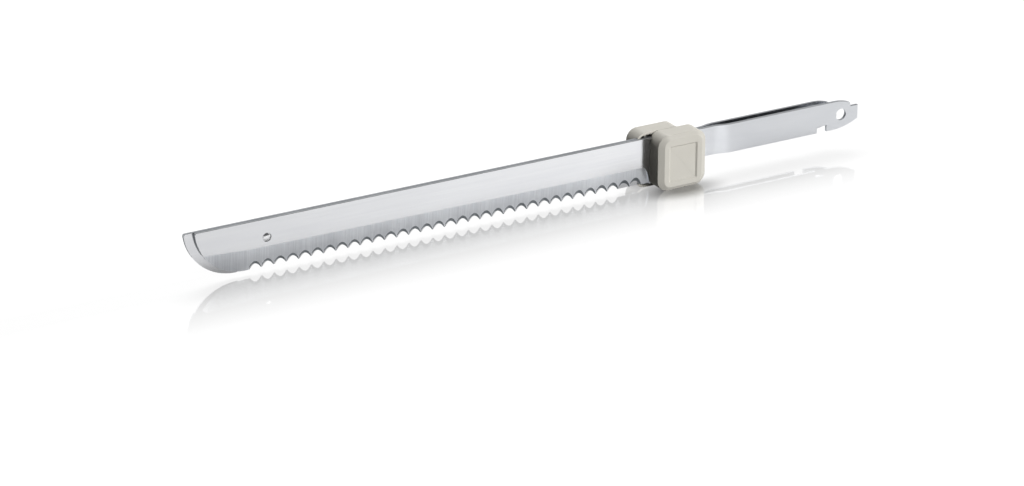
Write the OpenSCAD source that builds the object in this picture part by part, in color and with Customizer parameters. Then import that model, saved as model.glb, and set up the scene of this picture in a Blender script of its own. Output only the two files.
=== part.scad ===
// Twin blade set of an electric carving knife.
// Two serrated steel strips lie face to face, on edge, hooked together by a
// stud near the tip. Each strip carries a hollow moulded guard, and behind it
// a flat tang with a drive hole and a catch notch.
// X runs along the blades from tip to tang, Z is up, and Y = 0 is the plane
// between the blades. The front half lies at negative Y. The origin is under
// the middle of the whole, on the surface that the guards stand on.

/* [Blades] */
// Length of the front blade from its tip to its guard
blade_len = 189.5; // [120:0.5:260]
// Height of a blade from edge to spine
blade_h = 18.7; // [16:0.1:26]
// Thickness of the steel strip
steel_t = 1.2; // [0.9:0.05:1.6]
// Running gap between the two blades
blade_gap = 0.1; // [0.06:0.02:0.3]
// Radius of the rounded tip
tip_r = 20; // [14:0.5:30]
// Radius of the corner between the tip and the spine
tip_corner_r = 0.8; // [0.3:0.1:2]
// How far the back blade's tip lies ahead of the front one at rest
tip_lead = 3.8; // [0:0.1:6]

/* [Ground edge] */
// Height of the ground bevel at the heel
bevel_heel_h = 7.1; // [5:0.1:8]
// Height of the ground bevel at the first tooth
bevel_front_h = 8.2; // [5:0.1:9.5]
// Height of the bevel line where it runs out at the tip
bevel_tip_h = 9.5; // [7:0.1:11]
// Thickness of the steel that the bevel leaves at the edge
edge_t = 0.15; // [0.1:0.01:0.4]
// Radius of the grinding wheel's run-out at the heel
runout_r = 12.7; // [9:0.1:20]
// Gap between the run-out and the guard
runout_gap = 0.3; // [0.1:0.05:2]

/* [Teeth] */
// Distance from tooth to tooth
tooth_pitch = 5; // [3:0.1:8]
// Depth of a scallop, measured on the blade's inner face
tooth_depth = 1.92; // [0.8:0.02:2.1]
// Distance from the upright side of a tooth to the deepest place of its scallop
tooth_centre = 2.15; // [1.3:0.05:2.3]
// Width of the flat point of a tooth
tooth_point = 0.3; // [0.25:0.05:0.6]
// Plain edge between the front blade's tip and its first scallop
plain_tip = 21.25; // [20.5:0.05:32]
// Least plain edge between the last tooth and the guard
plain_heel = 3; // [1:0.1:8]
// Lean of the scallop wheel's axis away from square to the blade
tooth_lean = 64.5; // [50:0.5:68]

/* [Guards] */
// Width of a guard along the blade
guard_w = 21.2; // [16:0.1:30]
// How far a guard reaches above the spine
guard_rise = 1.9; // [1.2:0.1:5]
// How far a guard reaches below the edge
guard_drop = 1.7; // [1.2:0.1:5]
// Depth of a guard from its rim to its outer face
guard_depth = 8.15; // [7:0.05:12]
// Radius of a guard's upright corners, seen from the side
guard_corner_r = 4.5; // [3:0.1:7]
// Wall thickness of a guard
guard_wall = 0.9; // [0.7:0.05:1.1]
// Thickness of a guard's outer plate
guard_plate = 2.1; // [1.6:0.1:3]
// Depth of the bevel round the outer face
guard_bevel_d = 1.35; // [0.6:0.05:1.9]
// Width of that bevel at the two ends
guard_bevel_w = 2.3; // [1:0.05:3]
// Width of that bevel at the top and the foot
guard_bevel_h = 1.6; // [1:0.05:3]
// Gap between the rims of the two guards
rim_gap = 0.3; // [0.2:0.05:1]
// How far the back guard sits nearer to its own tip than the front one
back_guard_lead = 2; // [0:0.1:4]

/* [Guard panel] */
// Depth of the sunk panel in the outer face
panel_d = 0.5; // [0.3:0.05:1.2]
// Width of the slope that leads down to the panel
panel_slope_w = 0.6; // [0.1:0.05:1.2]
// Width of the raised rim beside the panel
panel_side_rim = 2; // [1:0.05:3]
// Width of the raised rim above the panel
panel_top_rim = 2.6; // [1:0.05:3.5]
// Width of the raised rim below the panel
panel_foot_rim = 1.7; // [1:0.05:3.5]
// Radius of the panel's corners, at the foot of the slope
panel_corner_r = 0.3; // [0.2:0.05:1]

/* [Guard fixing] */
// Diameter of the moulded stakes that hold a guard on the steel
stake_dia = 3; // [2:0.1:4]
// Clearance of a stake in its hole, on the radius
stake_fit = 0.02; // [0.01:0.01:0.1]
// Wall of the boss round each stake
boss_wall = 1.6; // [1:0.1:2]
// Distance from a guard's front wall to its first stake
stake_front = 5; // [4.6:0.1:6]
// Distance between a guard's two stakes
stake_span = 10; // [8:0.1:10.5]
// Thickness of the ribs that stiffen a guard's plate
rib_t = 0.9; // [0.6:0.1:1.4]
// Clearance round the steel where it passes through a guard's walls
slot_fit = 0.05; // [0.02:0.01:0.2]

/* [Tangs] */
// Length of the front tang behind its guard
tang_len = 73.6; // [50:0.1:110]
// How much shorter the back tang is
back_tang_short = 1.5; // [0:0.1:4]
// Height of a tang
tang_h = 11.7; // [10:0.1:14]
// How far a tang's top lies below the spine
tang_drop = 0.7; // [0.3:0.1:2]
// Gap between the two tangs
tang_gap = 2.7; // [1.5:0.1:8]
// Radius of the two bends that set a tang outwards
bend_r = 12.3; // [8:0.1:20]
// Straight strip between the guard and the first bend
bend_start = 6.9; // [2:0.1:12]
// Depth inside the guard at which the blade narrows to the tang
shoulder_in = 10; // [9:0.1:12]

/* [Tang ends] */
// Diameter of the drive hole
drive_hole_dia = 4.7; // [3:0.1:6]
// Distance from the drive hole to the end of the tang
drive_hole_end = 7.9; // [7:0.1:10]
// Width of the catch notch
notch_w = 4.6; // [2:0.1:7]
// Depth of the catch notch
notch_d = 2.6; // [1:0.1:4]
// Distance from the catch notch to the end of the tang
notch_end = 14.4; // [13:0.1:20]
// Length of the stepped nose
nose_len = 3.5; // [1.5:0.1:4.2]
// How far the stepped nose lies below the top of the tang
nose_step = 3.1; // [1.5:0.1:4]
// Radius of the tang's upper edge near its end
nose_top_r = 20; // [16:0.5:40]
// Distance from the start of that curve to the end of the tang
nose_top_run = 11.1; // [8:0.1:12]
// Radius of the tang's lower edge near its end
nose_foot_r = 26; // [20:0.5:50]
// Distance from the start of that curve to the end of the tang
nose_foot_run = 12.1; // [8:0.1:12.8]
// Radius of the corner above the stepped nose
nose_corner_r = 1.2; // [0.5:0.1:1.5]

/* [Tip stud] */
// Distance from the front blade's tip to the stud
stud_from_tip = 28.2; // [24:0.1:40]
// Height of the stud above the edge
stud_rise = 11.6; // [11:0.1:13]
// Diameter of the stud in the front blade
stud_dia = 3.2; // [2.8:0.1:4]
// Height of the domed end on the front blade
stud_dome = 0.35; // [0.1:0.05:0.8]
// Diameter of the stud's neck in the back blade's slot
neck_dia = 2.5; // [2:0.1:2.7]
// Diameter of the stud's head behind the back blade
head_dia = 4.4; // [4:0.1:5]
// Thickness of that head
head_t = 0.9; // [0.5:0.1:1.5]
// Bevel round the edge of that head
head_bevel = 0.3; // [0.1:0.05:0.4]
// Clearance of the neck and the head in the slot, on each side
stud_fit = 0.1; // [0.05:0.05:0.2]
// Travel of the stud each way from the middle of the slot
half_stroke = 7; // [4:0.1:9]
// Distance from the end of the stroke to the slot's wide entry
entry_step = 4; // [3.5:0.1:6]

/* [Hidden] */

steel_color = [0.80, 0.81, 0.83];
stud_color = [0.72, 0.73, 0.75];
plastic_color = [0.80, 0.79, 0.75];

// Facets of a small round, of a long arc, and of a corner inside a hull
round_fn = 64;
arc_fn = 180;
hull_fn = 32;
// How far a cut runs past what it cuts
over = 1;

// Heights above the standing surface
edge_z = guard_drop;
spine_z = edge_z + blade_h;
tang_top_z = spine_z - tang_drop;
tang_foot_z = tang_top_z - tang_h;
tang_mid_z = tang_foot_z + tang_h / 2;
guard_h = guard_drop + blade_h + guard_rise;

// Distances out from the plane between the blades
inner_y = blade_gap / 2;
outer_y = inner_y + steel_t;
rim_y = rim_gap / 2;
face_y = rim_y + guard_depth;
wall_y = face_y - guard_bevel_d;
plate_y = face_y - guard_plate;
tang_inner_y = tang_gap / 2;

// The two bends of a tang, as equal arcs on the strip's middle line
bend_shift = tang_inner_y - inner_y;
bend_angle = acos(1 - bend_shift / (2 * bend_r));
bend_run = 2 * bend_r * sin(bend_angle);

// Distances from a blade's own tip
front_guard_x = blade_len;
back_guard_x = blade_len - back_guard_lead;
front_nose_x = front_guard_x + guard_w + tang_len;
back_nose_x = back_guard_x + guard_w + tang_len - back_tang_short;

// Where the tips lie, with the origin under the middle of the whole
front_tip_x = (tip_lead - front_nose_x) / 2;
back_tip_x = front_tip_x - tip_lead;

// The scallops: an ellipse on the inner face, from its deepest place to a point
lean_cos = cos(tooth_lean);
scallop_run = tooth_pitch - tooth_point - tooth_centre;
scallop_r = (pow(scallop_run, 2) + pow(tooth_depth * lean_cos, 2))
    / (2 * tooth_depth * lean_cos);
scallop_z = edge_z + tooth_depth - scallop_r / lean_cos;
// Plain edge at the back blade's tip, with its teeth behind the front ones
back_plain_tip = plain_tip + tip_lead - tooth_pitch;

// Shortest piece of a solid that a hull blends from
blend_t = 0.05;

// How many scallops fit between the plain edge at the tip and the heel
function scallop_count(guard_x, plain_x) =
    floor((guard_x - plain_heel - plain_x) / tooth_pitch);

// Lays a side view, drawn as X and Z, out from the inner plane by depth
module from_side(depth) {
    rotate([90, 0, 0])
        linear_extrude(height = depth)
            children();
}

// A bore across the strip, through a point given as X and Z
module cross_bore(x, z, r) {
    translate([x, over, z])
        rotate([90, 0, 0])
            cylinder(r = r, h = tang_inner_y + steel_t + 2 * over, $fn = round_fn);
}

// A square with four round corners, its low corner at the origin
module rounded_square(w, h, r, corner_fn = round_fn) {
    translate([r, 0])
        square([w - 2 * r, h]);
    translate([0, r])
        square([w, h - 2 * r]);
    for (x = [r, w - r], z = [r, h - r])
        translate([x, z])
            circle(r = r, $fn = corner_fn);
}

// Side view of the blade, from its round tip to its shoulder in the guard
module blade_side(guard_x) {
    difference() {
        union() {
            intersection() {
                translate([tip_r, edge_z + tip_r])
                    circle(r = tip_r, $fn = arc_fn);
                translate([0, edge_z])
                    square([tip_r, blade_h]);
            }
            translate([tip_r, edge_z])
                square([guard_x + shoulder_in - tip_r, blade_h]);
        }
        tip_corner();
    }
}

// What the small corner between tip and spine leaves out
module tip_corner() {
    tip_top_x = tip_r - sqrt(pow(tip_r, 2) - pow(blade_h - tip_r, 2));
    corner_z = spine_z - tip_corner_r;
    difference() {
        translate([tip_top_x - over, corner_z])
            square([tip_corner_r + over, tip_corner_r + over]);
        translate([tip_top_x + tip_corner_r, corner_z])
            circle(r = tip_corner_r, $fn = round_fn);
    }
}

// Side view of the tang, from inside the guard to its stepped nose
module tang_side(guard_x, nose_x) {
    curve_x = nose_x - max(nose_top_run, nose_foot_run);
    difference() {
        union() {
            translate([guard_x + shoulder_in - over, tang_foot_z])
                square([curve_x - guard_x - shoulder_in + over, tang_h]);
            intersection() {
                tang_foot_curve(nose_x);
                tang_top_curve(nose_x);
                translate([curve_x - blend_t, tang_foot_z])
                    square([nose_x - curve_x + blend_t, tang_h]);
            }
        }
        translate([nose_x - notch_end - notch_w, tang_foot_z - over])
            square([notch_w, notch_d + over]);
    }
}

// All that lies above the tang's lower edge, which curves up to the nose
module tang_foot_curve(nose_x) {
    start_x = nose_x - nose_foot_run;
    translate([start_x, tang_foot_z + nose_foot_r])
        circle(r = nose_foot_r, $fn = arc_fn);
    translate([start_x - tang_h, tang_foot_z])
        square([tang_h, tang_h]);
}

// All that lies below the tang's upper edge, which curves down to the step
module tang_top_curve(nose_x) {
    start_x = nose_x - nose_top_run;
    centre_z = tang_top_z - nose_top_r;
    step_x = nose_x - nose_len;
    // Centre of the small corner, touching both the long curve and the step
    corner_x = step_x - nose_corner_r;
    corner_rise = sqrt(pow(nose_top_r - nose_corner_r, 2) - pow(corner_x - start_x, 2));
    meet_x = start_x + (corner_x - start_x) * nose_top_r / (nose_top_r - nose_corner_r);
    translate([start_x - tang_h, tang_foot_z])
        square([tang_h, tang_h]);
    intersection() {
        translate([start_x, centre_z])
            circle(r = nose_top_r, $fn = arc_fn);
        translate([start_x - blend_t, tang_foot_z])
            square([meet_x - start_x + blend_t, tang_h]);
    }
    intersection() {
        translate([corner_x, centre_z + corner_rise])
            circle(r = nose_corner_r, $fn = round_fn);
        translate([meet_x, tang_foot_z])
            square([step_x - meet_x, tang_h]);
    }
    translate([meet_x - blend_t, tang_foot_z])
        square([step_x - meet_x + blend_t, centre_z + corner_rise - tang_foot_z]);
    translate([start_x, tang_foot_z])
        square([nose_x - start_x, tang_h - nose_step]);
}

// A slice of a ring from the top of the circle, turning clockwise
module ring_slice(inside_r, angle) {
    outside_r = inside_r + steel_t;
    reach = 2 * outside_r;
    intersection() {
        difference() {
            circle(r = outside_r, $fn = arc_fn);
            circle(r = inside_r, $fn = arc_fn);
        }
        polygon([[0, 0], [0, reach], [reach * sin(angle), reach * cos(angle)]]);
    }
}

// Plan of the strip: straight, an outward bend, its opposite, and straight
module strip_plan(guard_x, nose_x) {
    bend_x = guard_x + guard_w + bend_start;
    inside_r = bend_r - steel_t / 2;
    translate([0, -outer_y])
        square([bend_x, steel_t]);
    translate([bend_x, -outer_y - inside_r])
        ring_slice(inside_r, bend_angle);
    translate([bend_x + bend_run, inside_r - tang_inner_y])
        rotate([0, 0, 180])
            ring_slice(inside_r, bend_angle);
    translate([bend_x + bend_run, -tang_inner_y - steel_t])
        square([nose_x - bend_x - bend_run, steel_t]);
}

// The wedge that a grinding wheel takes off the outer side, in its own frame:
// the bevel line lies on Z = 0 and passes through the origin
module bevel_wedge(h, length_back, length_on) {
    slope = (steel_t - edge_t) / h;
    foot = h + 2 * over;
    translate([-length_back, 0, 0])
        rotate([90, 0, 90])
            linear_extrude(height = length_back + length_on)
                polygon([
                    [-outer_y, 0],
                    [-outer_y + foot * slope, -foot],
                    [-outer_y - over, -foot],
                    [-outer_y - over, 0]
                ]);
}

// Both planes of the ground bevel, with a round run-out before the guard
module ground_bevel(guard_x, plain_x) {
    first_z = edge_z + bevel_front_h;
    runout_x = guard_x - runout_gap - runout_r;
    heel_run = guard_x - plain_x;
    heel_lean = atan((bevel_front_h - bevel_heel_h) / heel_run);
    tip_lean = atan((bevel_tip_h - bevel_front_h) / plain_x);
    intersection() {
        union() {
            translate([plain_x, 0, first_z])
                rotate([0, heel_lean, 0])
                    bevel_wedge(bevel_front_h, plain_x + over, heel_run + over);
            translate([plain_x, 0, first_z])
                rotate([0, tip_lean, 0])
                    bevel_wedge(bevel_front_h, plain_x + over, blade_h);
        }
        translate([0, over, 0])
            from_side(outer_y + 3 * over)
                union() {
                    translate([-2 * over, -blade_h])
                        square([runout_x + 2 * over, 3 * blade_h]);
                    translate([runout_x, edge_z])
                        circle(r = runout_r, $fn = arc_fn);
                }
    }
}

// The cutter of one scallop, in the middle of its pitch: a leaning cylinder
// that ends square at the upright side of the tooth before it
module scallop_cutter() {
    step_x = -tooth_pitch / 2;
    rotate([90 - tooth_lean, 0, 0])
        linear_extrude(height = 2 * scallop_r / lean_cos, center = true)
            intersection() {
                translate([step_x + tooth_centre, 0])
                    circle(r = scallop_r, $fn = arc_fn);
                translate([step_x, 0])
                    square([2 * scallop_r, scallop_r + over]);
            }
}

// One row of scallops cut up into the bevel. With turned at 1 the upright side
// is the tooth's other one, as when the strip meets the wheel from its back.
module scallops(guard_x, plain_x, turned) {
    for (i = [0 : scallop_count(guard_x, plain_x) - 1])
        translate([plain_x + (i + 1 / 2) * tooth_pitch, -inner_y, scallop_z])
            mirror([turned, 0, 0])
                scallop_cutter();
}

// The two stake holes in a strip, or the stakes themselves with no clearance
module stake_row(guard_x, r, depth) {
    for (i = [0, 1])
        translate([guard_x + stake_front + i * stake_span, -inner_y, tang_mid_z])
            from_side(depth)
                circle(r = r, $fn = round_fn);
}

// A whole steel strip, before the stud's hole or slot
module steel_strip(guard_x, nose_x, plain_x, turned) {
    difference() {
        intersection() {
            from_side(tang_inner_y + steel_t + over)
                union() {
                    blade_side(guard_x);
                    tang_side(guard_x, nose_x);
                }
            linear_extrude(height = spine_z + over)
                strip_plan(guard_x, nose_x);
        }
        ground_bevel(guard_x, plain_x);
        scallops(guard_x, plain_x, turned);
        cross_bore(nose_x - drive_hole_end, tang_mid_z, drive_hole_dia / 2);
        translate([0, over, 0])
            stake_row(guard_x, stake_dia / 2 + stake_fit, steel_t + 2 * over);
    }
}

// The keyhole in the back blade, along which the stud's neck travels
module keyhole() {
    slot_r = neck_dia / 2 + stud_fit;
    low_x = stud_from_tip - half_stroke;
    entry_x = stud_from_tip + half_stroke + entry_step;
    z = edge_z + stud_rise;
    cross_bore(low_x, z, slot_r);
    cross_bore(entry_x, z, head_dia / 2 + stud_fit);
    translate([low_x, -outer_y - over, z - slot_r])
        cube([entry_x - low_x, steel_t + 2 * over, 2 * slot_r]);
}

// Turns what was drawn for the front half into the back half
module as_back_half() {
    translate([back_tip_x, 0, 0])
        mirror([0, 1, 0])
            children();
}

module front_blade() {
    color(steel_color)
        translate([front_tip_x, 0, 0])
            difference() {
                steel_strip(front_guard_x, front_nose_x, plain_tip, 0);
                cross_bore(stud_from_tip, edge_z + stud_rise, stud_dia / 2);
            }
}

module back_blade() {
    color(steel_color)
        as_back_half()
            difference() {
                steel_strip(back_guard_x, back_nose_x, back_plain_tip, 1);
                keyhole();
            }
}

// The stud: a domed end, a shank, a neck through the slot and a flat head,
// turned from one outline of radius and distance
module tip_stud() {
    dome_y = -outer_y - stud_dome;
    neck_end = outer_y + stud_fit;
    dome_r = (pow(stud_dia / 2, 2) + pow(stud_dome, 2)) / (2 * stud_dome);
    color(stud_color)
        translate([front_tip_x + stud_from_tip, 0, edge_z + stud_rise])
            rotate([-90, 0, 0])
                rotate_extrude($fn = round_fn) {
                    intersection() {
                        translate([0, dome_y + dome_r])
                            circle(r = dome_r, $fn = arc_fn);
                        translate([0, dome_y])
                            square([stud_dia / 2, stud_dome]);
                    }
                    polygon([
                        [0, -outer_y],
                        [stud_dia / 2, -outer_y],
                        [stud_dia / 2, -inner_y],
                        [neck_dia / 2, -inner_y],
                        [neck_dia / 2, neck_end],
                        [head_dia / 2, neck_end],
                        [head_dia / 2, neck_end + head_t - head_bevel],
                        [head_dia / 2 - head_bevel, neck_end + head_t],
                        [0, neck_end + head_t]
                    ]);
                }
}

// The closed outside of a guard: straight walls, then a bevelled outer face
module guard_block() {
    face_w = guard_w - 2 * guard_bevel_w;
    face_h = guard_h - 2 * guard_bevel_h;
    face_r = guard_corner_r - min(guard_bevel_w, guard_bevel_h);
    translate([0, -rim_y, 0])
        from_side(wall_y - rim_y)
            rounded_square(guard_w, guard_h, guard_corner_r);
    hull() {
        translate([0, blend_t - wall_y, 0])
            from_side(blend_t)
                rounded_square(guard_w, guard_h, guard_corner_r, hull_fn);
        translate([guard_bevel_w, blend_t - face_y, guard_bevel_h])
            from_side(blend_t)
                rounded_square(face_w, face_h, face_r, hull_fn);
    }
}

// The hollow inside a guard, from its rim to its plate
module guard_hollow() {
    translate([guard_wall, over, guard_wall])
        from_side(plate_y + over)
            rounded_square(
                guard_w - 2 * guard_wall,
                guard_h - 2 * guard_wall,
                guard_corner_r - guard_wall
            );
}

// The sunk panel in a guard's outer face, with its sloping walls
module guard_panel() {
    side = guard_bevel_w + panel_side_rim;
    foot = guard_bevel_h + panel_foot_rim;
    mouth_w = guard_w - 2 * side;
    mouth_h = guard_h - foot - guard_bevel_h - panel_top_rim;
    mouth_r = panel_corner_r + panel_slope_w;
    floor_w = mouth_w - 2 * panel_slope_w;
    floor_h = mouth_h - 2 * panel_slope_w;
    hull() {
        translate([side, -face_y, foot])
            from_side(blend_t)
                rounded_square(mouth_w, mouth_h, mouth_r, hull_fn);
        translate([side + panel_slope_w, panel_d - face_y, foot + panel_slope_w])
            from_side(blend_t)
                rounded_square(floor_w, floor_h, panel_corner_r, hull_fn);
    }
}

// The cuts in a guard's two end walls that the steel passes through
module guard_slots() {
    deep = outer_y + slot_fit + over;
    translate([-over, -outer_y - slot_fit, edge_z - slot_fit])
        cube([guard_wall + 2 * over, deep, blade_h + 2 * slot_fit]);
    translate([guard_w - guard_wall - over, -outer_y - slot_fit, tang_foot_z - slot_fit])
        cube([guard_wall + 2 * over, deep, tang_h + 2 * slot_fit]);
}

// Bosses and ribs that carry the plate off the steel, and the two stakes
module guard_core() {
    boss_r = stake_dia / 2 + boss_wall;
    boss_len = plate_y - outer_y + blend_t;
    translate([0, inner_y - outer_y, 0])
        stake_row(0, boss_r, boss_len);
    stake_row(0, stake_dia / 2, steel_t + blend_t);
    translate([guard_wall - blend_t, -plate_y - blend_t, tang_mid_z - rib_t / 2])
        cube([guard_w - 2 * guard_wall + 2 * blend_t, boss_len, rib_t]);
    for (i = [0, 1])
        translate([
            stake_front + i * stake_span - rib_t / 2,
            -plate_y - blend_t,
            guard_wall - blend_t
        ])
            cube([rib_t, boss_len, guard_h - 2 * guard_wall + 2 * blend_t]);
}

// A guard, its front wall at X = 0
module guard() {
    difference() {
        guard_block();
        guard_hollow();
        guard_panel();
        guard_slots();
    }
    guard_core();
}

module front_guard() {
    color(plastic_color)
        translate([front_tip_x + front_guard_x, 0, 0])
            guard();
}

module back_guard() {
    color(plastic_color)
        as_back_half()
            translate([back_guard_x, 0, 0])
                guard();
}

front_blade();
back_blade();
tip_stud();
front_guard();
back_guard();
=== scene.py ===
import math

import bmesh
import bpy
from mathutils import Matrix, Vector


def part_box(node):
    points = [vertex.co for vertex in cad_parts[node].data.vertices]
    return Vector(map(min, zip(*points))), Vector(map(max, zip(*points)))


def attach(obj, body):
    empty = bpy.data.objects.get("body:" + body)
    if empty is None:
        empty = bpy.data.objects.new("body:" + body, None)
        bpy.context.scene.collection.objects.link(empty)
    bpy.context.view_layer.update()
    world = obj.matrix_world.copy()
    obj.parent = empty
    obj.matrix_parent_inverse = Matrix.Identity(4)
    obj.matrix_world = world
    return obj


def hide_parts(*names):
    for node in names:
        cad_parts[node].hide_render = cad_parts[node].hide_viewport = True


# Twin blade set of an electric carving knife, standing on its two guards.
# Lengths are written in millimetres and multiplied by mm where they are used.
mm = 0.001

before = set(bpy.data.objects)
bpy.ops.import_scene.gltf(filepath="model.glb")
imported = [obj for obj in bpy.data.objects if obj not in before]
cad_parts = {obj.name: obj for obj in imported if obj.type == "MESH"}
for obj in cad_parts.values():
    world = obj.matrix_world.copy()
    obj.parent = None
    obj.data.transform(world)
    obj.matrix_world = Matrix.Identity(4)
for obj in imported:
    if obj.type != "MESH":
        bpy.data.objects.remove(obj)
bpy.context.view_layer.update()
print("frame loaded:", ", ".join(sorted(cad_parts)))


# Camera, at the photograph's viewing angle

cameraSetup = {
    "place": (-591.84, -1023.63, 491.53),
    "pitchDown": 23.11,
    "yawRight": 29.60,
    "lens": 119.98,
    "sensorWidth": 36,
    "clip": (50, 50000),       # nearest and farthest distance drawn
}


def addCamera(setup):
    data = bpy.data.cameras.new("camera")
    data.lens = setup["lens"]
    data.sensor_width = setup["sensorWidth"]
    data.clip_start, data.clip_end = (v * mm for v in setup["clip"])
    camera = bpy.data.objects.new("camera", data)
    camera.location = [v * mm for v in setup["place"]]
    camera.rotation_euler = (
        math.radians(90 - setup["pitchDown"]),
        0,
        math.radians(-setup["yawRight"]),
    )
    bpy.context.scene.collection.objects.link(camera)
    bpy.context.scene.camera = camera


addCamera(cameraSetup)
print("camera set")


# Tools that every material uses

noiseSetup = {
    "detail": 2.0,
    "roughness": 0.55,         # share that each finer layer of the noise keeps
    "spread": (0.3, 0.7),      # where nearly all of one noise lies
    "bothSpread": (0.7, 1.3),  # where nearly all of two noises lie together
    "reliefHeight": 0.05,      # millimetres that a relief of 1 stands up
}


def hexColour(code):
    # sRGB hex to the linear colour that a shader wants
    parts = [int(code[i:i + 2], 16) / 255 for i in (1, 3, 5)]
    linear = [c / 12.92 if c <= 0.04045 else ((c + 0.055) / 1.055) ** 2.4 for c in parts]
    return (*linear, 1)


def addNode(tree, kind, inputs=None, **settings):
    # one node with its settings; an input is a value, or the socket that feeds it
    made = tree.nodes.new(kind)
    for name, value in settings.items():
        setattr(made, name, value)
    for name, value in (inputs or {}).items():
        if isinstance(value, bpy.types.NodeSocket):
            tree.links.new(value, made.inputs[name])
        else:
            made.inputs[name].default_value = value
    return made


def newMaterial(name):
    material = bpy.data.materials.new(name)
    material.use_nodes = True
    material.node_tree.nodes.clear()
    return material, material.node_tree


def grainNoise(tree, grain, detail=noiseSetup["detail"]):
    # noise whose grains measure the given millimetres along X, Y and Z
    place = addNode(tree, "ShaderNodeTexCoord")
    scaled = addNode(tree, "ShaderNodeMapping", {
        "Vector": place.outputs["Object"],
        "Scale": [1 / (g * mm) for g in grain],
    })
    return addNode(tree, "ShaderNodeTexNoise", {
        "Vector": scaled.outputs["Vector"],
        "Scale": 1.0,
        "Detail": detail,
        "Roughness": noiseSetup["roughness"],
    }).outputs["Fac"]


# Steel finishes

satinSteelLook = {
    "name": "satinStainless",
    "light": "#DDDEE0",
    "dark": "#D5D6D9",
    "rough": (0.13, 0.19),
    "grain": (38, 0.5, 0.35),    # faint rolling lines along the strip
    "cloud": (45, 30, 9),        # slow change of tone over the strip
    "relief": 0.01,
}
groundSteelLook = {
    "name": "groundStainless",
    "light": "#EFF2F6",
    "dark": "#D7DADF",
    "rough": (0.28, 0.42),
    "grain": (0.38, 8, 14),      # wheel marks across the blade, 0.4 mm apart to show
    "cloud": (16, 20, 30),
    "relief": 0.12,
}
# painted shade: this dark steel on the gullets, the tip's round end and the stud's ring stands in
# for the shade there; its grinding grain is real
paintedShadeSteelLook = {
    "name": "groundStainlessPaintedShade",
    "light": "#84898D",
    "dark": "#5E6367",
    "rough": (0.34, 0.46),
    "grain": (0.9, 0.3, 0.4),
    "cloud": (5, 5, 5),
    "relief": 0.08,
}
shearedSteelLook = {
    "name": "shearedStainlessEdge",
    "light": "#BCBFC3",
    "dark": "#A5A9AD",
    "rough": (0.36, 0.5),
    "grain": (0.7, 0.25, 0.5),   # burnish of the stamping die through the strip's thickness
    "cloud": (12, 12, 12),
    "relief": 0.10,
}
rolledSteelLook = {
    "name": "rolledStainless",
    "light": "#D5D7DA",
    "dark": "#CCCED2",
    "rough": (0.19, 0.26),
    "grain": (30, 0.5, 0.35),    # the mill's own lines, left as they came on the tang
    "cloud": (35, 30, 9),
    "relief": 0.01,
}
turnedSteelLook = {
    "name": "turnedBrightStainless",
    "light": "#F0F1F2",
    "dark": "#DCDDDF",
    "rough": (0.14, 0.20),
    "grain": (0.5, 0.5, 0.5),    # polish of the stud's domed end
    "cloud": (6, 6, 6),
    "relief": 0.02,
}


def steel(look):
    # stainless steel: a soft mirror whose roughness and tone follow how it was worked
    material, tree = newMaterial(look["name"])
    grain = grainNoise(tree, look["grain"])
    cloud = grainNoise(tree, look["cloud"])
    both = addNode(tree, "ShaderNodeMath", {0: grain, 1: cloud}, operation="ADD")
    tone = addNode(tree, "ShaderNodeMapRange", {
        "Value": both.outputs["Value"],
        "From Min": noiseSetup["bothSpread"][0],
        "From Max": noiseSetup["bothSpread"][1],
    })
    colour = addNode(tree, "ShaderNodeMix", {
        0: tone.outputs["Result"],
        6: hexColour(look["dark"]),
        7: hexColour(look["light"]),
    }, data_type="RGBA")
    rough = addNode(tree, "ShaderNodeMapRange", {
        "Value": grain,
        "From Min": noiseSetup["spread"][0],
        "From Max": noiseSetup["spread"][1],
        "To Min": look["rough"][0],
        "To Max": look["rough"][1],
    })
    relief = addNode(tree, "ShaderNodeBump", {
        "Height": grain,
        "Strength": look["relief"],
        "Distance": noiseSetup["reliefHeight"] * mm,
    })
    shader = addNode(tree, "ShaderNodeBsdfPrincipled", {
        "Base Color": colour.outputs[2],
        "Roughness": rough.outputs["Result"],
        "Normal": relief.outputs["Normal"],
        "Metallic": 1.0,
    })
    addNode(tree, "ShaderNodeOutputMaterial", {"Surface": shader.outputs["BSDF"]})
    return material


stripLooks = (
    satinSteelLook, groundSteelLook, paintedShadeSteelLook, shearedSteelLook, rolledSteelLook,
)
stripFinishes = [steel(look) for look in stripLooks]
satin, ground, paintedShadeSteel, sheared, rolled = range(len(stripLooks))


# Moulded plastic

plasticLook = {
    "name": "mouldedSatinPlastic",
    "light": "#D2CFC7",
    "dark": "#CBC8BF",
    "rough": (0.42, 0.52),
    "grain": (0.25, 0.25, 0.25),  # spark-eroded mould texture
    "grainDetail": 3.0,
    "cloud": (9, 9, 9),
    "relief": 0.10,
    "gloss": 0.1,
    "ior": 1.49,
}


def mouldedPlastic(look):
    # filled polypropylene from a fine-eroded mould: matt, with a soft broad sheen
    material, tree = newMaterial(look["name"])
    grain = grainNoise(tree, look["grain"], look["grainDetail"])
    cloud = grainNoise(tree, look["cloud"])
    colour = addNode(tree, "ShaderNodeMix", {
        0: cloud,
        6: hexColour(look["dark"]),
        7: hexColour(look["light"]),
    }, data_type="RGBA")
    rough = addNode(tree, "ShaderNodeMapRange", {
        "Value": grain,
        "To Min": look["rough"][0],
        "To Max": look["rough"][1],
    })
    relief = addNode(tree, "ShaderNodeBump", {
        "Height": grain,
        "Strength": look["relief"],
        "Distance": noiseSetup["reliefHeight"] * mm,
    })
    shader = addNode(tree, "ShaderNodeBsdfPrincipled", {
        "Base Color": colour.outputs[2],
        "Roughness": rough.outputs["Result"],
        "Normal": relief.outputs["Normal"],
        "IOR": look["ior"],
        "Specular IOR Level": look["gloss"],
    })
    addNode(tree, "ShaderNodeOutputMaterial", {"Surface": shader.outputs["BSDF"]})
    return material


guardFinishes = [mouldedPlastic(plasticLook)]
studFinishes = [steel(turnedSteelLook)]
print("finishes made")


# Tools that every piece uses

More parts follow.
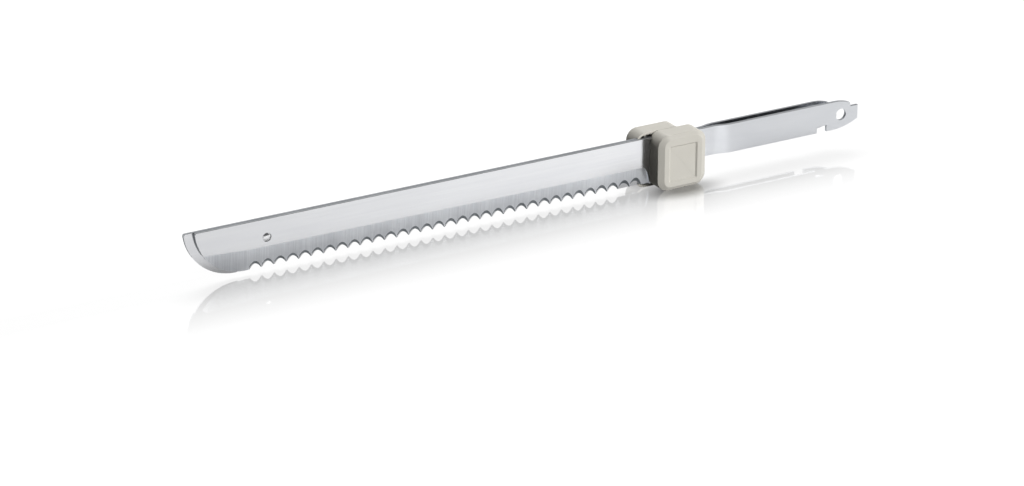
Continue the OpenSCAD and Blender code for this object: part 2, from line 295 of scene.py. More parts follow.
weldWithin = 0.001             # millimetres within which two vertices are one
pastPiece = 5                  # millimetres that a round cutter runs past the middle plane


def objectFrom(bm, name, finishes=()):
    mesh = bpy.data.meshes.new(name)
    bm.to_mesh(mesh)
    bm.free()
    for finish in finishes:
        mesh.materials.append(finish)
    piece = bpy.data.objects.new(name, mesh)
    bpy.context.scene.collection.objects.link(piece)
    return piece


def addBlock(bm, low, high):
    # a box between two corners, in millimetres
    size = (Vector(high) - Vector(low)) * mm
    middle = (Vector(high) + Vector(low)) / 2 * mm
    bmesh.ops.create_cube(
        bm, size=1, matrix=Matrix.Translation(middle) @ Matrix.Diagonal((*size, 1))
    )


def addPost(bm, x, z, radius, yFrom, yTo, steps=64):
    # a round bar across the strip, in millimetres
    middle = Vector((x, (yFrom + yTo) / 2, z)) * mm
    bmesh.ops.create_cone(
        bm,
        cap_ends=True,
        segments=steps,
        radius1=radius * mm,
        radius2=radius * mm,
        depth=abs(yTo - yFrom) * mm,
        matrix=Matrix.Translation(middle) @ Matrix.Rotation(math.pi / 2, 4, "X"),
    )


def cutAway(piece, cutters):
    # takes each cutter out of the piece, then the cutters out of the scene
    for cutter in cutters:
        cut = piece.modifiers.new("cut", "BOOLEAN")
        cut.operation = "DIFFERENCE"
        cut.solver = "EXACT"
        cut.object = cutter
    bpy.context.view_layer.update()
    whole = piece.data
    seen = piece.evaluated_get(bpy.context.evaluated_depsgraph_get())
    piece.data = bpy.data.meshes.new_from_object(seen)
    piece.modifiers.clear()
    bpy.data.meshes.remove(whole)
    piece.data.name = piece.name
    for cutter in cutters:
        bpy.data.objects.remove(cutter)


def shadeEdges(piece, sharpOver):
    # crisp where the turn is wide, and at a crease between two finishes; round elsewhere
    least, most = math.radians(3), math.radians(30)
    bm = bmesh.new()
    bm.from_mesh(piece.data)
    for face in bm.faces:
        face.smooth = True
    for edge in bm.edges:
        turn = edge.calc_face_angle(0)
        finishes = {face.material_index for face in edge.link_faces}
        creased = len(finishes) > 1 and least < turn < most
        edge.smooth = turn < math.radians(sharpOver) and not creased
    bm.to_mesh(piece.data)
    bm.free()
    weighted = piece.modifiers.new("evenShading", "WEIGHTED_NORMAL")
    weighted.keep_sharp = True
    weighted.weight = 100


def standFor(piece, node, body):
    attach(piece, body)
    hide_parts(node)


# The two steel strips: blade and tang in one. X runs from the strip's own tip, Z from its edge,
# and d outwards from the plane between the two blades.

stripShape = {
    "thickness": 1.2,
    "fromMiddle": 0.05,        # inner face of the blade
    "softEdge": 0.12,          # tumbled edge of the stamped strip
    "tipRadius": 20,
    "tipCorner": 0.8,
    "guardFromTip": 189.5,
    "shoulderInGuard": 10,
    "lineAtTip": 9.5,          # upper line of the ground bevel
    "lineAtTeeth": 8.2,
    "lineAtHeel": 7.1,
    "edgeThickness": 0.15,
    "wheelRadius": 12.7,       # round run-out of the bevel before the guard
    "wheelGap": 0.3,
    "toothPitch": 5,
    "toothDepth": 1.92,
    "toothCentre": 2.15,       # deepest place of a scallop, from the tooth's upright side
    "toothPoint": 0.3,         # flat point of a tooth
    "toothTurned": False,      # upright side towards the guard
    "toothLean": 64.5,
    "plainTip": 21.25,
    "plainHeel": 3,
    "tangHeight": 11.7,
    "tangDrop": 0.7,
    "tangFromMiddle": 1.35,
    "bendRadius": 12.3,
    "bendAfterGuard": 6.9,
    "noseLength": 3.5,
    "noseStep": 3.1,
    "noseCorner": 1.2,
    "noseTopRadius": 20,
    "noseTopRun": 11.1,
    "noseFootRadius": 26,
    "noseFootRun": 12.1,
    "notchFromEnd": 14.4,
    "notchWidth": 4.6,
    "notchDepth": 2.6,
    "holeFromEnd": 7.9,
    "holeRadius": 2.35,
    "lean": 0.02,              # an upright step leans by this much, so that no face is a line
    "arcSteps": 56,
    "toothSteps": 16,
    "wheelSteps": 12,
    "bendSteps": 12,
    "noseSteps": 16,
    "cornerSteps": 8,
    "halvings": 30,            # of the span in which the point of the tip is looked for
    "sharpOver": 50,           # degrees
}


def drop(radius, run):
    # how far an arc has fallen away from its tangent after a run
    return radius - math.sqrt(max(radius ** 2 - run ** 2, 0))


def stripSizes(shape, node, guard):
    # the settings, with the place and the lengths that the frame gives, in millimetres
    low, high = (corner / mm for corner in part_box(node))
    guardLow, guardHigh = (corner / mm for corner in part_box(guard))
    s = dict(shape)
    s["side"] = 1 if high.y > -low.y else -1
    s["tip"] = guardLow.x - s["guardFromTip"]
    s["edge"] = low.z
    s["height"] = high.z - low.z
    s["nose"] = high.x - s["tip"]
    s["outer"] = s["fromMiddle"] + s["thickness"]
    s["guardEnd"] = s["guardFromTip"] + guardHigh.x - guardLow.x
    s["slope"] = (s["thickness"] - s["edgeThickness"]) / s["lineAtTeeth"]
    s["runOut"] = s["guardFromTip"] - s["wheelGap"] - s["wheelRadius"]
    s["teeth"] = int((s["guardFromTip"] - s["plainHeel"] - s["plainTip"]) / s["toothPitch"])
    s["toothCos"] = math.cos(math.radians(s["toothLean"]))
    deep = s["toothDepth"] * s["toothCos"]
    run = s["toothPitch"] - s["toothPoint"] - s["toothCentre"]
    s["toothRadius"] = (run ** 2 + deep ** 2) / (2 * deep)
    s["bevelStart"] = drop(s["tipRadius"], s["tipRadius"] - s["lineAtTip"])
    s["spineStart"] = drop(s["tipRadius"], s["height"] - s["tipRadius"])
    s["tangTop"] = s["height"] - s["tangDrop"]
    s["tangFoot"] = s["tangTop"] - s["tangHeight"]
    s["notchEnd"] = s["nose"] - s["notchFromEnd"]
    s["notchStart"] = s["notchEnd"] - s["notchWidth"]
    s["holeX"] = s["nose"] - s["holeFromEnd"]
    s["holeZ"] = s["tangFoot"] + s["tangHeight"] / 2
    return s


def bevelLine(s, x):
    if x < s["plainTip"]:
        return s["lineAtTip"] + (s["lineAtTeeth"] - s["lineAtTip"]) * x / s["plainTip"]
    along = (x - s["plainTip"]) / (s["guardFromTip"] - s["plainTip"])
    return s["lineAtTeeth"] + (s["lineAtHeel"] - s["lineAtTeeth"]) * along


def bladeTop(s, x):
    corner = s["spineStart"] + s["tipCorner"]
    return s["height"] - drop(s["tipCorner"], max(corner - x, 0))


def bladeFoot(s, x):
    return drop(s["tipRadius"], max(s["tipRadius"] - x, 0))


def scallop(s, x):
    # height of a scallop's cut on the inner face and on the ground bevel
    count = math.floor((x - s["plainTip"]) / s["toothPitch"])
    if not 0 <= count < s["teeth"]:
        return 0, 0
    run = x - s["plainTip"] - count * s["toothPitch"]
    if s["toothTurned"]:
        run = s["toothPitch"] - run
    inner = s["toothDepth"] - drop(s["toothRadius"], run - s["toothCentre"]) / s["toothCos"]
    climb = math.tan(math.radians(s["toothLean"]))
    outer = inner + climb * (s["thickness"] - s["slope"] * bevelLine(s, x))
    return max(inner, 0), max(outer / (1 - climb * s["slope"]), 0)


def bladeRing(s, x):
    # section of the blade as points of x, d and z, from the inner edge up and round
    top, foot = bladeTop(s, x), bladeFoot(s, x)
    line = bevelLine(s, x)
    ledge = line
    if x > s["runOut"]:
        ledge = min(line, math.sqrt(max(s["wheelRadius"] ** 2 - (x - s["runOut"]) ** 2, 0)))
    innerFoot, outerFoot = (max(foot, z) for z in scallop(s, x))
    ledge = max(ledge, foot)
    soft = min(s["softEdge"], (top - foot) / 3)
    cut = soft * (1 - math.sqrt(0.5))
    inner, outer = s["fromMiddle"], s["outer"]
    section = [
        (inner, innerFoot),
        (inner, innerFoot),
        (inner, top - soft),
        (inner + cut, top - cut),
        (inner + soft, top),
        (outer - soft, top),
        (outer - cut, top - cut),
        (outer, top - soft),
        (outer, ledge),
        (min(outer, outer - s["slope"] * (line - ledge)), ledge),
        (min(outer, outer - s["slope"] * (line - outerFoot)), outerFoot),
    ]
    return [(x, d, z) for d, z in section]


def tangTop(s, x):
    start, step = s["nose"] - s["noseTopRun"], s["nose"] - s["noseLength"]
    if x > step:
        return s["tangTop"] - s["noseStep"]
    # the long curve, then the small corner inside it
    cornerX = step - s["noseCorner"]
    reach = s["noseTopRadius"] - s["noseCorner"]
    meet = start + (cornerX - start) * s["noseTopRadius"] / reach
    if x < meet:
        return s["tangTop"] - drop(s["noseTopRadius"], max(x - start, 0))
    cornerZ = s["tangTop"] - s["noseTopRadius"] + math.sqrt(reach ** 2 - (cornerX - start) ** 2)
    return cornerZ + math.sqrt(max(s["noseCorner"] ** 2 - (x - cornerX) ** 2, 0))


def tangFoot(s, x):
    if s["notchStart"] < x < s["notchEnd"]:
        return s["tangFoot"] + s["notchDepth"]
    return s["tangFoot"] + drop(s["noseFootRadius"], max(x - s["nose"] + s["noseFootRun"], 0))


def tangRing(s, x, middle, turn):
    # section of the tang, square to the strip where it bends
    top, foot = tangTop(s, x), tangFoot(s, x)
    half, soft = s["thickness"] / 2, s["softEdge"]
    cut = soft * (1 - math.sqrt(0.5))
    section = [
        (soft - half, foot),
        (-half, foot + soft),
        (-half, top - soft),
        (cut - half, top - cut),
        (soft - half, top),
        (half - soft, top),
        (half - cut, top - cut),
        (half, top - soft),
        (half, foot + soft),
        (half - cut, foot + cut),
        (half - soft, foot),
    ]
    return [
        (x - across * math.sin(turn), middle + across * math.cos(turn), z)
        for across, z in section
    ]


def tipPoint(s):
    # where the spine's small corner meets the round of the tip
    low, high = s["spineStart"], s["spineStart"] + s["tipCorner"]
    for _ in range(s["halvings"]):
        middle = (low + high) / 2
        if bladeTop(s, middle) < bladeFoot(s, middle):
            low = middle
        else:
            high = middle
    return high


def bladeStations(s):
    # from the point of the tip to the shoulder inside the guard
    widest = math.asin((s["tipRadius"] - tipPoint(s)) / s["tipRadius"])
    places = [
        s["tipRadius"] * (1 - math.sin(widest * (1 - i / s["arcSteps"])))
        for i in range(s["arcSteps"] + 1)
    ]
    pitch, half = s["toothPitch"], s["lean"] / 2
    clear = pitch - 2 * half
    steps = [-half] + [half + clear * i / s["toothSteps"] for i in range(s["toothSteps"])]
    if s["toothTurned"]:
        steps = [pitch - step for step in steps]
    for i in range(s["teeth"]):
        places += [s["plainTip"] + i * pitch + step for step in steps]
    places.append(s["plainTip"] + (0 if s["toothTurned"] else s["teeth"]) * pitch)
    steepest = math.asin(s["lineAtHeel"] / s["wheelRadius"])
    places += [
        s["runOut"] + s["wheelRadius"] * math.cos(steepest * (1 - i / s["wheelSteps"]))
        for i in range(s["wheelSteps"] + 1)
    ]
    places.append(s["guardFromTip"] + s["shoulderInGuard"])
    return sorted(places)


def bendRings(s, near, far):
    # the two small bends that lead the tang out from the blade
    bend = math.acos(1 - (far - near) / (2 * s["bendRadius"]))
    start = s["guardEnd"] + s["bendAfterGuard"]
    end = start + 2 * s["bendRadius"] * math.sin(bend)
    rings = []
    for i in range(s["bendSteps"] + 1):
        turn = bend * i / s["bendSteps"]
        run = s["bendRadius"] * math.sin(turn)
        rings.append(tangRing(s, start + run, near + drop(s["bendRadius"], run), turn))
    for i in range(1, s["bendSteps"] + 1):
        turn = bend * (1 - i / s["bendSteps"])
        run = s["bendRadius"] * math.sin(turn)
        rings.append(tangRing(s, end - run, far - drop(s["bendRadius"], run), turn))
    return rings


def noseStations(s):
    # from the notch to the end of the tang
    curveStart, step = s["nose"] - s["noseFootRun"], s["nose"] - s["noseLength"]
    cornerX = step - s["noseCorner"]
    places = [s["notchStart"], s["notchStart"] + s["lean"]]
    places += [s["notchEnd"] - s["lean"], s["notchEnd"]]
    places += [
        curveStart + (cornerX - curveStart) * i / s["noseSteps"] for i in range(s["noseSteps"])
    ]
    places += [
        cornerX + s["noseCorner"] * math.sin(math.pi / 2 * i / s["cornerSteps"])
        for i in range(s["cornerSteps"] + 1)
    ]
    return places + [step + s["lean"], step + s["noseLength"] / 2, s["nose"]]


def stripRings(s):
    # every section of the strip, from the tip to the end of the tang
    near = s["fromMiddle"] + s["thickness"] / 2
    far = s["tangFromMiddle"] + s["thickness"] / 2
    shoulder = s["guardFromTip"] + s["shoulderInGuard"] + s["lean"]
    return [
        *(bladeRing(s, x) for x in bladeStations(s)),
        tangRing(s, shoulder, near, 0),
        *bendRings(s, near, far),
        *(tangRing(s, x, far, 0) for x in noseStations(s)),
    ]


# faces round a section: the inner foot's corner, the spine, the bevel's ledge, the bevel, the foot
cornerRow, spineRow, ledgeRow, bevelRow, footRow = 0, 4, 8, 9, 10


def stripFinish(s, row, x):
    # which finish a face has, by its row round the section and its place along the strip
    scalloped = s["plainTip"] < x < s["plainTip"] + s["teeth"] * s["toothPitch"]
    # the dark finish on the gullets and on the tip's round end is painted shade
    if row in (cornerRow, footRow):
        if x < s["plainTip"]:
            return paintedShadeSteel if x < s["bevelStart"] else satin
        return paintedShadeSteel if scalloped else sheared
    if row == spineRow:
        return sheared
    if row in (ledgeRow, bevelRow) and x < s["guardFromTip"]:
        return ground
    return rolled if x > s["guardFromTip"] else satin


def makeStrip(name, node, guard, body, shape, holes):
    s = stripSizes(shape, node, guard)
    rings = stripRings(s)
    along, around = len(rings) - 1, len(rings[0])
    bm = bmesh.new()
    bmesh.ops.create_grid(bm, x_segments=along, y_segments=around, size=0.5)
    for face in bm.faces:
        middle = face.calc_center_median()
        ring = rings[int((middle.x + 0.5) * along)]
        face.material_index = stripFinish(s, int((middle.y + 0.5) * around), ring[0][0])
    for vert in bm.verts:
        ring = rings[round((vert.co.x + 0.5) * along)]
        x, d, z = ring[round((vert.co.y + 0.5) * around) % around]
        vert.co = Vector((s["tip"] + x, s["side"] * d, s["edge"] + z)) * mm
    bmesh.ops.remove_doubles(bm, verts=bm.verts, dist=weldWithin * mm)
    bmesh.ops.holes_fill(bm, edges=[e for e in bm.edges if e.is_boundary], sides=0)
    bmesh.ops.recalc_face_normals(bm, faces=bm.faces)
    strip = objectFrom(bm, name, stripFinishes)
    cutAway(strip, holes(s))
    shadeEdges(strip, s["sharpOver"])
    standFor(strip, node, body)
    return s


studShape = {
    "fromTip": 28.2,           # from the front blade's tip
    "height": 11.6,
    "radius": 1.6,
    "holeGap": 0.01,
    "groove": 0.12,            # fine ring round the domed end, broken into the blade's face
    "grooveDepth": 0.4,
    "dome": 0.35,
    "domeFoot": 1.45,
    "neck": 1.25,
    "head": 2.2,
    "headThickness": 0.9,
    "headBevel": 0.3,
    "play": 0.1,
    "halfStroke": 7,
    "entryStep": 4,
    "steps": 64,
    "domeSteps": 10,
    "sharpOver": 40,
}


def roundHole(s, x, z, radius, end=pastPiece, finish=sheared):
    # a cutter that enters from the front; the hole's wall takes the given finish
    bm = bmesh.new()
    addPost(bm, s["tip"] + x, s["edge"] + z, radius, -pastPiece, end)
    for face in bm.faces:
        face.material_index = finish
    return objectFrom(bm, "cutter", stripFinishes)


def frontHoles(s):
    # drive hole, the hole that holds the stud, and the fine ring round it, whose wall takes the
    # dark painted-shade steel
    t = studShape
    depth = t["grooveDepth"] - s["outer"]
    return [
        roundHole(s, s["holeX"], s["holeZ"], s["holeRadius"]),
        roundHole(s, t["fromTip"], t["height"], t["radius"] + t["holeGap"]),
        roundHole(s, t["fromTip"], t["height"], t["radius"] + t["groove"], depth, paintedShadeSteel),
    ]


def backHoles(s):
    # drive hole, and the keyhole along which the stud's neck runs
    t = studShape
    slot = t["neck"] + t["play"]
    low = t["fromTip"] - t["halfStroke"]
    entry = t["fromTip"] + t["halfStroke"] + t["entryStep"]
    bm = bmesh.new()
    x, z = s["tip"], s["edge"] + t["height"]
    addBlock(bm, (x + low, -2 * s["outer"], z - slot), (x + entry, 2 * s["outer"], z + slot))
    return [
        roundHole(s, s["holeX"], s["holeZ"], s["holeRadius"]),
        objectFrom(bm, "cutter"),
        roundHole(s, low, t["height"], slot),
        roundHole(s, entry, t["height"], t["head"] + t["play"]),
    ]


front = makeStrip("frontStrip", "front_blade", "front_guard", "front_half", stripShape, frontHoles)
backShape = {
    **stripShape,
    "guardFromTip": 187.5,
    "plainTip": 20.05,
    "toothTurned": True,       # upright side towards the tip
}
back = makeStrip("backStrip", "back_blade", "back_guard", "back_half", backShape, backHoles)
print("steel strips made")


# The turned stud that hooks the blades together

def makeStud(t, s):
    inner, outer = s["fromMiddle"], s["outer"]
    domeRadius = (t["domeFoot"] ** 2 + t["dome"] ** 2) / (2 * t["dome"])
    rim = math.asin(t["domeFoot"] / domeRadius)
    dome = []
    for i in range(t["domeSteps"] + 1):
        turn = rim * i / t["domeSteps"]
        rise = domeRadius * (1 - math.cos(turn))
        dome.append((domeRadius * math.sin(turn), rise - outer - t["dome"]))
    neckEnd = outer + t["play"]
    headEnd = neckEnd + t["headThickness"]
    outline = dome + [
        (t["domeFoot"], t["grooveDepth"] - outer),
        (t["radius"], t["grooveDepth"] - outer),
        (t["radius"], -inner),
        (t["neck"], -inner),
        (t["neck"], neckEnd),
        (t["head"], neckEnd),
        (t["head"], headEnd - t["headBevel"]),
        (t["head"] - t["headBevel"], headEnd),
        (0, headEnd),
    ]
    bm = bmesh.new()
    x, z = s["tip"] + t["fromTip"], s["edge"] + t["height"]
    line = [bm.verts.new(Vector((x + r, y, z)) * mm) for r, y in outline]
    edges = [bm.edges.new(pair) for pair in zip(line, line[1:])]
    bmesh.ops.spin(
        bm,
        geom=line + edges,
        cent=Vector((x, 0, z)) * mm,
        axis=(0, 1, 0),
        angle=2 * math.pi,
        steps=t["steps"],
        use_merge=True,
    )
    bmesh.ops.remove_doubles(bm, verts=bm.verts, dist=weldWithin * mm)
    bmesh.ops.recalc_face_normals(bm, faces=bm.faces)
    stud = objectFrom(bm, "tipStud", studFinishes)
    shadeEdges(stud, t["sharpOver"])
    standFor(stud, "tip_stud", "front_half")


makeStud(studShape, front)
print("stud made")


# The hollow moulded guards

guardShape = {
    "cornerRadius": 4.5,       # upright corners, seen from the side
    "cornerSteps": 14,
    "bevelDepth": 1.35,        # slope round the outer face
    "bevelSide": 2.3,
    "bevelTop": 1.6,
    "softEdge": 0.12,
    "softSteps": 3,
    "panelDepth": 0.5,
    "panelSide": 2.0,
    "panelTop": 2.6,
    "panelFoot": 1.7,
    "panelSlope": 0.62,        # how far the panel's walls lean
    "panelSoft": 0.06,
    "panelSoftSteps": 2,
    "draft": 0.06,             # how far an upright wall leans for the mould
    "wall": 0.9,
    "plate": 2.1,
    "slotGap": 0.05,
    "bossRadius": 3.1,
    "bossFront": 5,
    "bossSpan": 10,
    "rib": 0.9,
    "intoPlate": 0.05,         # bosses and ribs run this far into the plate
    "pastWall": 1,             # cutters run this far past the wall that they cut
    "softOver": 20,            # degrees of turn from which an edge is softened
    "sharpOver": 35,
    "closeBy": 0.01,           # an edge this near to the outer face counts as part of it
}


def turnedEdges(bm, least):
    return [e for e in bm.edges if e.calc_face_angle(0) > math.radians(least)]


def softenEdges(bm, edges, width, steps):
    bmesh.ops.bevel(
        bm,
        geom=edges,
        offset=width * mm,
        offset_type="OFFSET",
        segments=steps,
        profile=0.5,
        affect="EDGES",
        clamp_overlap=False,
        material=-1,
    )


def faceTowards(bm, y):
    # the largest flat face that looks along Y, to the front for -1 or to the back for 1
    straight = 0.99
    return max((f for f in bm.faces if f.normal.y * y > straight), key=lambda f: f.calc_area())


def insetFace(bm, face, thickness, depth=0):
    # draws the face in all round and moves it along its normal, in millimetres
    bmesh.ops.inset_region(
        bm, faces=[face], thickness=thickness * mm, depth=depth * mm, use_even_offset=True
    )


def stretch(verts, axis, low, high, newLow, newHigh):
    # moves vertices along one axis from an old span to a new one, in millimetres
    for vert in verts:
        share = (vert.co[axis] / mm - low) / (high - low)
        vert.co[axis] = (newLow + share * (newHigh - newLow)) * mm


def makeGuard(name, node, strip, body, g):
    low, high = (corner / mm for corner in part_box(node))
    side = strip["side"]
    rim, face = sorted((abs(low.y), abs(high.y)))
    wall = face - g["bevelDepth"]
    bm = bmesh.new()
    # the block, its upright corners, and the slope up to the outer face; its outside looks to -Y
    addBlock(bm, (low.x, -wall, low.z), (high.x, -rim, high.z))
    upright = [e for e in bm.edges if abs(e.verts[0].co.y - e.verts[1].co.y) > mm]
    softenEdges(bm, upright, g["cornerRadius"], g["cornerSteps"])
    outside = faceTowards(bm, -1)
    top, across = g["bevelTop"], g["bevelSide"]
    insetFace(bm, outside, top)
    stretch(outside.verts, 0, low.x + top, high.x - top, low.x + across, high.x - across)
    bmesh.ops.translate(bm, verts=outside.verts, vec=(0, -g["bevelDepth"] * mm, 0))
    bm.normal_update()
    softenEdges(bm, turnedEdges(bm, g["softOver"]), g["softEdge"], g["softSteps"])
    bm.normal_update()
    # the sunk panel
    outside = faceTowards(bm, -1)
    insetFace(bm, outside, g["panelSide"] - g["softEdge"])
    heights = [v.co.z / mm for v in outside.verts]
    foot = low.z + g["bevelTop"] + g["panelFoot"]
    top = high.z - g["bevelTop"] - g["panelTop"]
    stretch(outside.verts, 2, min(heights), max(heights), foot, top)
    insetFace(bm, outside, g["panelSlope"], -g["panelDepth"])
    bm.normal_update()
    faceY = (g["closeBy"] - face) * mm
    turned = turnedEdges(bm, g["softOver"])
    brim = [e for e in turned if max(v.co.y for v in e.verts) < faceY]
    softenEdges(bm, brim, g["panelSoft"], g["panelSoftSteps"])
    # the hollow
    inside = faceTowards(bm, 1)
    insetFace(bm, inside, g["wall"] - g["softEdge"])
    deep = face - g["plate"] - rim
    insetFace(bm, inside, g["draft"], -deep)
    if side > 0:
        bmesh.ops.scale(bm, verts=bm.verts, vec=(1, -1, 1))
    bmesh.ops.recalc_face_normals(bm, faces=bm.faces)
    guard = objectFrom(bm, name, guardFinishes)
    # the slots in its two end walls, for the blade and for the tang
    gap, past, through = g["slotGap"], g["pastWall"], g["wall"] + 2 * g["draft"]
    reach = sorted((-side, side * (strip["outer"] + gap)))
    cutters = []
    for start, end, foot, top in (
        (low.x - past, low.x + through, 0, strip["height"]),
        (high.x - through, high.x + past, strip["tangFoot"], strip["tangTop"]),
    ):
        cutter = bmesh.new()
        foot, top = strip["edge"] + foot - gap, strip["edge"] + top + gap
        addBlock(cutter, (start, reach[0], foot), (end, reach[1], top))
        cutters.append(objectFrom(cutter, "cutter"))
    cutAway(guard, cutters)
    addCore(guard, low, high, strip, side, face - g["plate"], g)
    shadeEdges(guard, g["sharpOver"])
    standFor(guard, node, body)


def addCore(guard, low, high, strip, side, plate, g):
    # the bosses and ribs that hold the plate off the steel
    bm = bmesh.new()
    bm.from_mesh(guard.data)
    middle = strip["edge"] + strip["holeZ"]
    near, far = sorted((side * strip["outer"], side * (plate + g["intoPlate"])))
    wall, half = g["wall"], g["rib"] / 2
    addBlock(bm, (low.x + wall, near, middle - half), (high.x - wall, far, middle + half))
    for i in range(2):
        x = low.x + g["bossFront"] + i * g["bossSpan"]
        addPost(bm, x, middle, g["bossRadius"], near, far)
        addBlock(bm, (x - half, near, low.z + wall), (x + half, far, high.z - wall))
    bm.to_mesh(guard.data)
    bm.free()


makeGuard("frontGuard", "front_guard", front, "front_half", guardShape)
makeGuard("backGuard", "back_guard", back, "back_half", guardShape)
print("guards made")


# Studio: a pale floor, a pale room and large soft lamps

studio = {
    "floorSize": 8000,
    "floor": "#9C9C9C",        # what the lamps light of it; the glow makes it white in the picture
    "floorMirrored": "#F7F7F7",
    "floorForBounce": "#5A5A58",
    "glow": 0.82,
    # painted reflection: floor glow by X that only polished surfaces see, brighter by the guard
    # and at the tang's bend
    "paintedReflectionGlow": [          # by X, as the steel shows it
        (-130, 0.10), (40, 0.28), (76, 0.28), (84, 0.36), (94, 0.24), (108, 0.09),
    ],
    "paintedShadowPlace": (60, -9, 0),  # painted shadow: here the floor glows less, a fixed darker patch round the front guard's foot on top of its real shadow
    "paintedShadowReach": (22, 11, 1),
    "paintedShadowCore": 0.15,
    "paintedShadowGlow": 0.03,
    "mirrorShare": 0.42,       # polish of the floor beside the blades, gone further out
    "mirrorFrom": 5,
    "mirrorTo": 50,
    "roomFrom": -0.5,
    "roomLeft": 0.0,           # light from the room on matt surfaces, at its left and its right
    "roomRight": 0.50,
    "mirroredFront": 0.15,     # the room as polished surfaces see it
    "mirroredBack": 1.15,
    "lamps": [
        {"name": "topLamp", "place": (330, 350, 1250), "size": (1200, 1200), "power": 2.2},
        {"name": "backLamp", "place": (300, 850, 1150), "size": (1200, 700), "power": 17.5},
        {"name": "frontLamp", "place": (1300, -2600, 500), "size": (2200, 900), "power": 90},
    ],
}


def makeFloor(setup):
    bm = bmesh.new()
    bmesh.ops.create_grid(bm, x_segments=1, y_segments=1, size=setup["floorSize"] / 2 * mm)
    material, tree = newMaterial("paleFloor")
    rays = addNode(tree, "ShaderNodeLightPath")
    tone = addNode(tree, "ShaderNodeMix", {
        0: rays.outputs["Diffuse Depth"],
        6: hexColour(setup["floorMirrored"]),
        7: hexColour(setup["floorForBounce"]),
    }, data_type="RGBA")
    tone = addNode(tree, "ShaderNodeMix", {
        0: rays.outputs["Is Camera Ray"],
        6: tone.outputs[2],
        7: hexColour(setup["floor"]),
    }, data_type="RGBA")
    place = addNode(tree, "ShaderNodeTexCoord")
    parts = addNode(tree, "ShaderNodeSeparateXYZ", {0: place.outputs["Object"]})
    (first, _), (last, _) = setup["paintedReflectionGlow"][0], setup["paintedReflectionGlow"][-1]
    along = addNode(tree, "ShaderNodeMapRange", {
        "Value": parts.outputs["X"],
        "From Min": first * mm,
        "From Max": last * mm,
    })
    # painted reflection: glow by X that only polished surfaces see
    ramp = addNode(tree, "ShaderNodeValToRGB", {0: along.outputs["Result"]})
    stops = ramp.color_ramp.elements
    for x, _ in setup["paintedReflectionGlow"][1:-1]:
        stops.new((x - first) / (last - first))
    for stop, (_, level) in zip(stops, setup["paintedReflectionGlow"]):
        stop.color = (level, level, level, 1)
    # painted shadow: the floor's glow drops in a fixed patch round the front guard's foot
    shift = addNode(tree, "ShaderNodeVectorMath", {
        0: place.outputs["Object"],
        1: [v * mm for v in setup["paintedShadowPlace"]],
    }, operation="SUBTRACT")
    shift = addNode(tree, "ShaderNodeVectorMath", {
        0: shift.outputs["Vector"],
        1: [v * mm for v in setup["paintedShadowReach"]],
    }, operation="DIVIDE")
    shift = addNode(tree, "ShaderNodeVectorMath", {0: shift.outputs["Vector"]}, operation="LENGTH")
    paintedShadow = addNode(tree, "ShaderNodeMapRange", {
        "Value": shift.outputs["Value"],
        "From Min": setup["paintedShadowCore"],
        "From Max": 1.0,
        "To Min": setup["paintedShadowGlow"],
        "To Max": setup["glow"],
    }, interpolation_type="SMOOTHSTEP")
    seen = addNode(tree, "ShaderNodeMix", {
        0: rays.outputs["Is Glossy Ray"],
        2: paintedShadow.outputs["Result"],
        3: ramp.outputs["Color"],
    })
    glow = addNode(tree, "ShaderNodeMath", {
        0: rays.outputs["Diffuse Depth"],
        1: 0.5,
    }, operation="LESS_THAN")
    glow = addNode(tree, "ShaderNodeMath", {
        0: seen.outputs[0],
        1: glow.outputs["Value"],
    }, operation="MULTIPLY")
    matt = addNode(tree, "ShaderNodeBsdfPrincipled", {
        "Base Color": tone.outputs[2],
        "Roughness": 1.0,
        "Specular IOR Level": 0.0,
        "Emission Color": (1, 1, 1, 1),
        "Emission Strength": glow.outputs["Value"],
    })
    polished = addNode(tree, "ShaderNodeBsdfGlossy", {"Color": (1, 1, 1, 1), "Roughness": 0.0})
    aside = addNode(tree, "ShaderNodeMath", {0: parts.outputs["Y"]}, operation="ABSOLUTE")
    share = addNode(tree, "ShaderNodeMapRange", {
        "Value": aside.outputs["Value"],
        "From Min": setup["mirrorTo"] * mm,
        "From Max": setup["mirrorFrom"] * mm,
        "To Max": setup["mirrorShare"],
    })
    share = addNode(tree, "ShaderNodeMath", {
        0: share.outputs["Result"],
        1: rays.outputs["Is Camera Ray"],
    }, operation="MULTIPLY")
    both = addNode(tree, "ShaderNodeMixShader", {
        0: share.outputs["Value"],
        1: matt.outputs["BSDF"],
        2: polished.outputs["BSDF"],
    })
    addNode(tree, "ShaderNodeOutputMaterial", {"Surface": both.outputs["Shader"]})
    objectFrom(bm, "floor", [material])


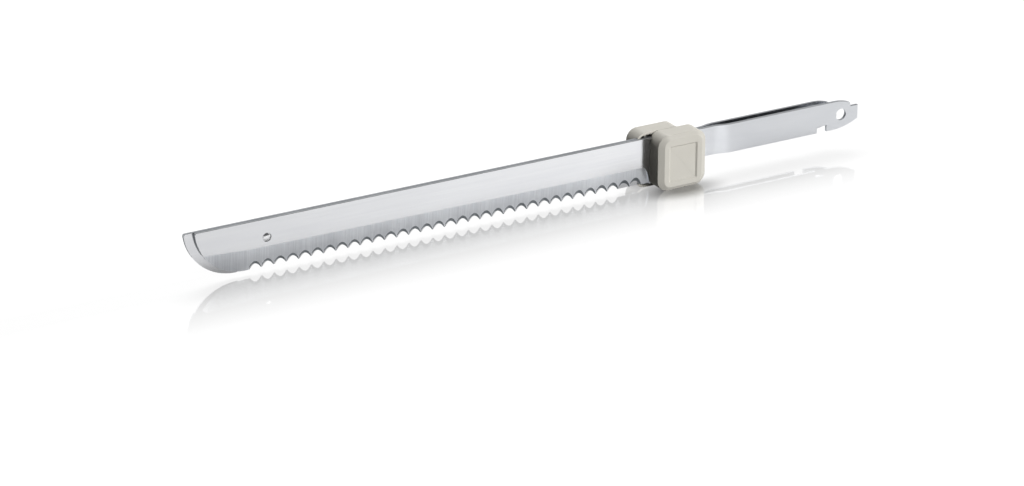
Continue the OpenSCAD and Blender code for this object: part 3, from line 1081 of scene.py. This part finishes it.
def lightRoom(setup):
    # matt surfaces get less light from the left; polished ones see a darker room in front
    world = bpy.data.worlds.new("room")
    world.use_nodes = True
    tree = world.node_tree
    tree.nodes.clear()
    direction = addNode(tree, "ShaderNodeTexCoord")
    parts = addNode(tree, "ShaderNodeSeparateXYZ", {0: direction.outputs["Generated"]})
    rays = addNode(tree, "ShaderNodeLightPath")
    levels = []
    spans = (("X", "roomLeft", "roomRight"), ("Y", "mirroredFront", "mirroredBack"))
    for axis, low, high in spans:
        levels.append(addNode(tree, "ShaderNodeMapRange", {
            "Value": parts.outputs[axis],
            "From Min": setup["roomFrom"],
            "From Max": 1.0,
            "To Min": setup[low],
            "To Max": setup[high],
        }).outputs["Result"])
    mirrored = addNode(tree, "ShaderNodeMix", {
        0: rays.outputs["Diffuse Depth"],
        2: levels[1],
        3: levels[0],
    })
    plain = addNode(tree, "ShaderNodeMath", {
        0: rays.outputs["Is Camera Ray"],
        1: rays.outputs["Is Transmission Ray"],
    }, operation="MAXIMUM")
    # the polished floor sees the same white room as the camera, so that it shows the object alone
    plain = addNode(tree, "ShaderNodeMath", {
        0: plain.outputs["Value"],
        1: rays.outputs["Is Singular Ray"],
    }, operation="MAXIMUM")
    strength = addNode(tree, "ShaderNodeMix", {
        0: plain.outputs["Value"],
        2: mirrored.outputs[0],
        3: 1.0,
    })
    backdrop = addNode(tree, "ShaderNodeBackground", {"Strength": strength.outputs[0]})
    addNode(tree, "ShaderNodeOutputWorld", {"Surface": backdrop.outputs["Background"]})
    bpy.context.scene.world = world


def addLamp(setup):
    data = bpy.data.lights.new(setup["name"], "AREA")
    data.shape = "RECTANGLE"
    data.size, data.size_y = (v * mm for v in setup["size"])
    data.energy = setup["power"]
    lamp = bpy.data.objects.new(setup["name"], data)
    lamp.location = Vector(setup["place"]) * mm
    lamp.visible_glossy = False
    lamp.rotation_euler = (-lamp.location).to_track_quat("-Z", "Y").to_euler()
    bpy.context.scene.collection.objects.link(lamp)


makeFloor(studio)
lightRoom(studio)
for lamp in studio["lamps"]:
    addLamp(lamp)
bpy.context.scene.view_settings.view_transform = "Standard"
print("studio lit")
